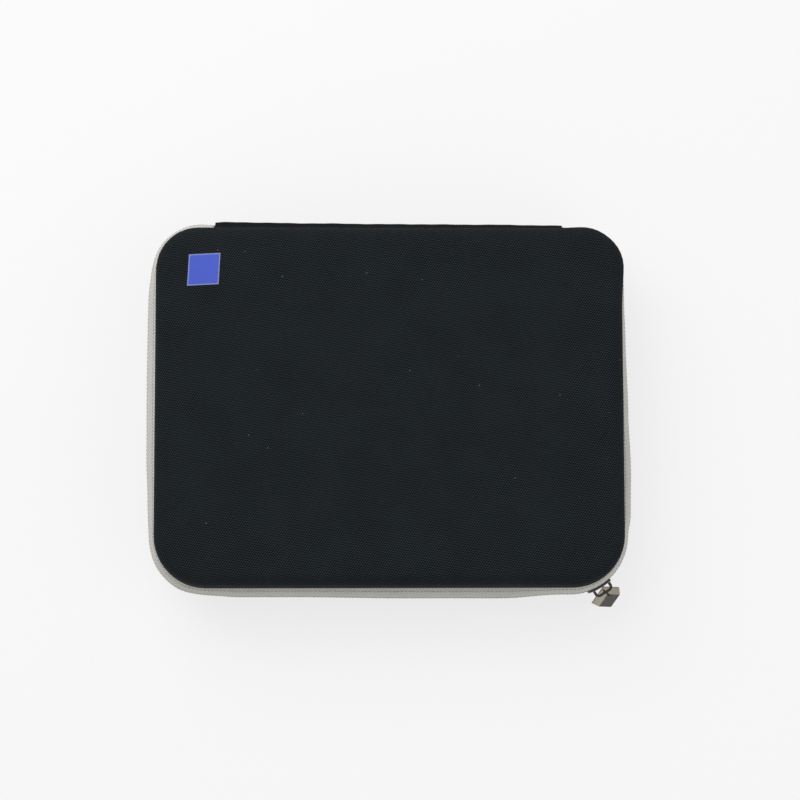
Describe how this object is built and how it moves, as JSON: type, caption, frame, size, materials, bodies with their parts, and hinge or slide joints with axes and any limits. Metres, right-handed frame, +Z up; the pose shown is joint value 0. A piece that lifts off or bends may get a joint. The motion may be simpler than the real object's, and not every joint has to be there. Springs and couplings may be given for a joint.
{
  "type": "otoscope carry case",
  "caption": "Zipped moulded hard case with a cloth spine hinge, a foam insert with instrument cavities, a mesh lid pocket, a corner zip slider and a block pull.",
  "frame": {"origin": "middle of the flat face the closed case rests on", "axes": "+Z up, +X to the right along the long side, +Y towards the cloth hinge"},
  "size_m": [0.294, 0.2393, 0.0763],
  "materials": {
    "shell_cloth": "black woven cloth over a moulded foam shell",
    "spine_cloth": "black woven cloth",
    "lining_cloth": "dark knitted lining",
    "binding_cloth": "black ribbed binding tape",
    "foam": "dark closed-cell foam",
    "elastic": "black woven elastic",
    "tape_twill": "light warm grey twill zip tape",
    "coil_nylon": "grey nylon coil",
    "stop_metal": "dark plated stop",
    "mesh_net": "black knitted net",
    "patch_print": "plain blue print",
    "slider_metal": "dark gunmetal plating",
    "pull_metal": "worn gunmetal plating with brass showing at the edges"
  },
  "bodies": {
    "base": {"base_shell": "shell_cloth", "base_lining": "lining_cloth", "base_binding": "binding_cloth", "foam_insert": "foam", "strap_left": "elastic", "strap_right": "elastic", "lower_tape": "tape_twill", "lower_coil": "coil_nylon", "stop_left": "stop_metal", "stop_right": "stop_metal", "spine_lower_margin": "spine_cloth"},
    "spine": {"spine_panel": "spine_cloth", "spine_lining": "lining_cloth"},
    "lid": {"lid_shell": "shell_cloth", "lid_lining": "lining_cloth", "lid_binding": "binding_cloth", "lid_pad": "foam", "mesh_pocket": "mesh_net", "pocket_hem": "elastic", "pocket_binding": "binding_cloth", "upper_tape": "tape_twill", "upper_coil": "coil_nylon", "spine_upper_margin": "spine_cloth", "lid_patch": "patch_print"},
    "slider": {"zip_slider": "slider_metal"},
    "pull": {"zip_pull": "pull_metal"}
  },
  "joints": [
    {"name": "spine_fold", "type": "hinge", "parent": "base", "child": "spine", "pos_m": [0, 0.1143, 0.0293], "axis": [-1, 0, 0], "range_deg": [0, 90]},
    {"name": "lid_fold", "type": "hinge", "parent": "spine", "child": "lid", "pos_m": [0, 0.1143, 0.0467], "axis": [-1, 0, 0], "range_deg": [0, 90]},
    {"name": "slider_travel", "type": "hinge", "parent": "base", "child": "slider", "pos_m": [0.111, -0.078, 0.038], "axis": [0, 0, 1], "range_deg": [-15, 44]},
    {"name": "pull_swing", "type": "hinge", "parent": "slider", "child": "pull", "pos_m": [0.1321, -0.11186, 0.038], "axis": [0, 0, 1], "range_deg": [-15, 30]}
  ],
  "couplings": [
    {"joint": "lid_fold", "follows": "spine_fold", "ratio": 1}
  ]
}
